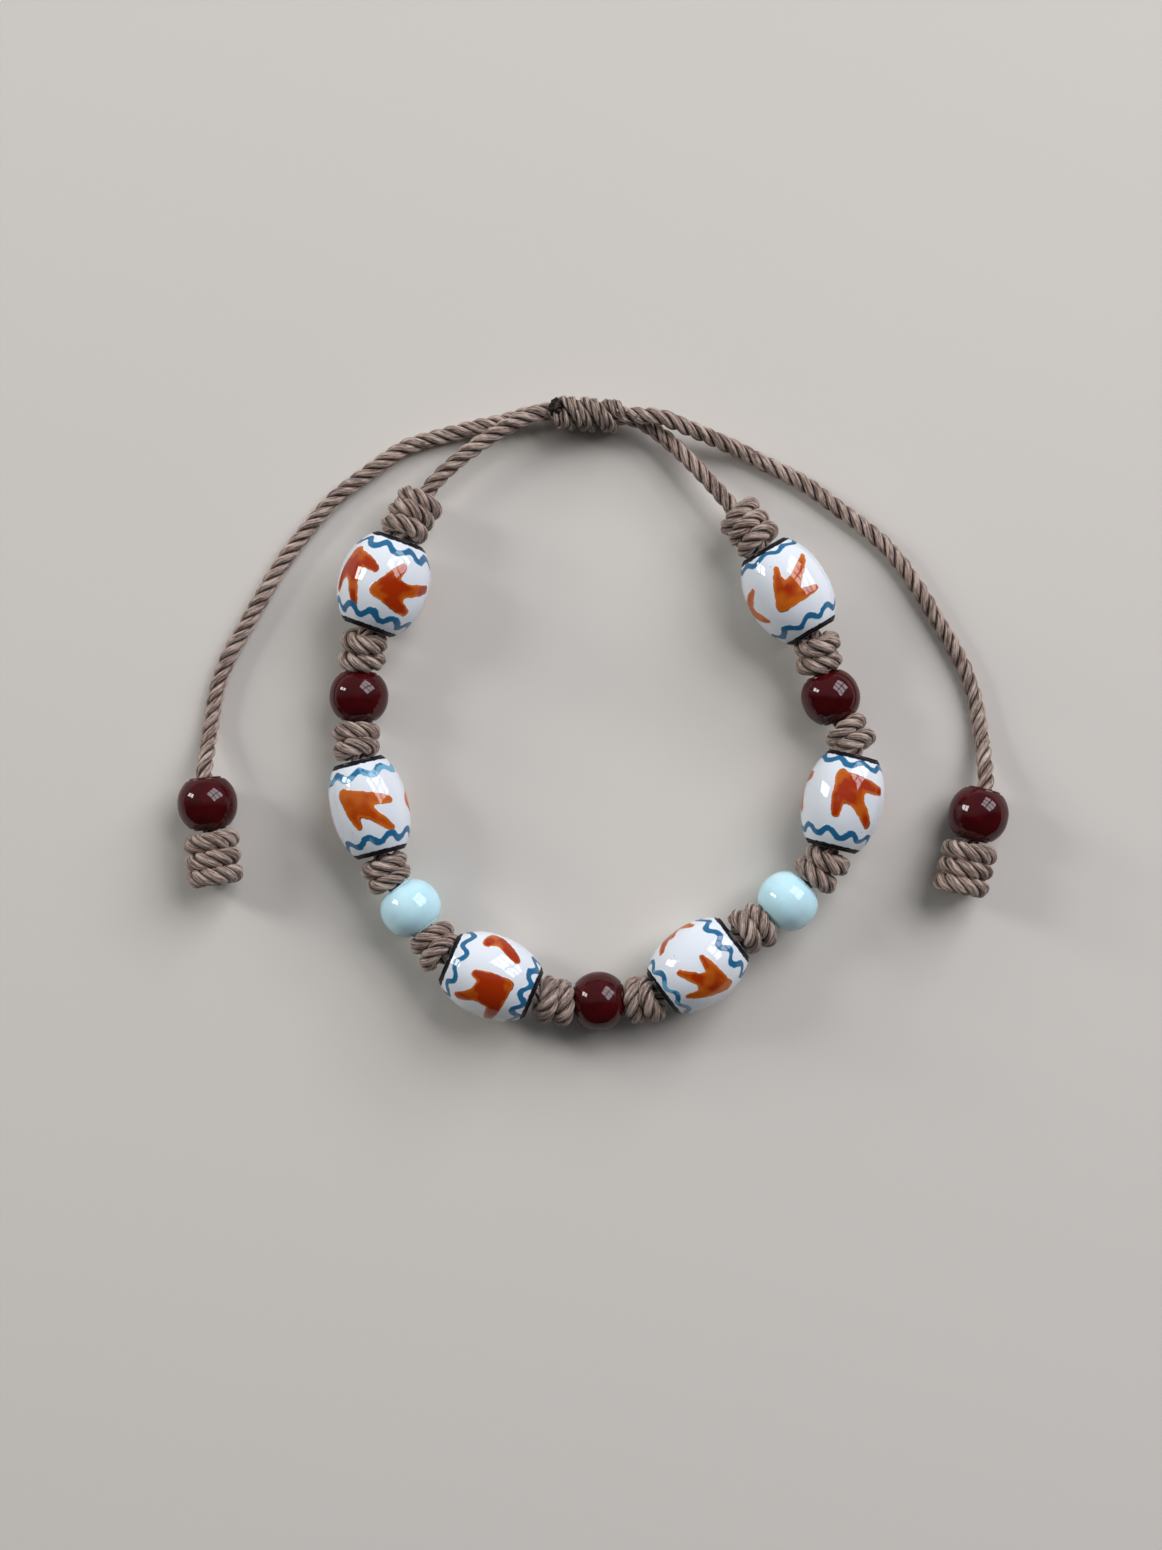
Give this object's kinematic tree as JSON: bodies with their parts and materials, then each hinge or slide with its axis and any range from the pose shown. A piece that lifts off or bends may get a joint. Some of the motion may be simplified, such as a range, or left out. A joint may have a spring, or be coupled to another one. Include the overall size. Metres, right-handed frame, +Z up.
{
  "type": "ceramic bead bracelet",
  "caption": "Adjustable cord bracelet of hand-painted ceramic barrel beads and glazed round beads between wrapped knots, closed by a sliding knot with two beaded tails.",
  "frame": {"origin": "on the table, under the middle of the box round the loop (without the two free tails)", "axes": "+Z up from the table, +Y from the lowest bead to the sliding knot, +X to the right seen from above"},
  "size_m": [0.0992, 0.0757, 0.0105],
  "materials": {
    "painted_ceramic": "clear gloss glaze over brush painting",
    "red_glaze": "deep red gloss glaze",
    "blue_glaze": "pale blue gloss glaze",
    "waxed_cord": "three-ply twisted waxed cotton"
  },
  "bodies": {
    "root": {"barrel_bead_1": "painted_ceramic", "barrel_bead_2": "painted_ceramic", "barrel_bead_3": "painted_ceramic", "barrel_bead_4": "painted_ceramic", "barrel_bead_5": "painted_ceramic", "barrel_bead_6": "painted_ceramic", "red_bead_1": "red_glaze", "red_bead_2": "red_glaze", "red_bead_3": "red_glaze", "tail_bead_left": "red_glaze", "tail_bead_right": "red_glaze", "blue_bead_1": "blue_glaze", "blue_bead_2": "blue_glaze", "knot_01": "waxed_cord", "knot_02": "waxed_cord", "knot_03": "waxed_cord", "knot_04": "waxed_cord", "knot_05": "waxed_cord", "knot_06": "waxed_cord", "knot_07": "waxed_cord", "knot_08": "waxed_cord", "knot_09": "waxed_cord", "knot_10": "waxed_cord", "knot_11": "waxed_cord", "knot_12": "waxed_cord", "sliding_knot": "waxed_cord", "bead_cord": "waxed_cord", "tail_cord_left": "waxed_cord", "tail_cord_right": "waxed_cord", "end_knot_left": "waxed_cord", "end_knot_right": "waxed_cord"}
  },
  "joints": []
}
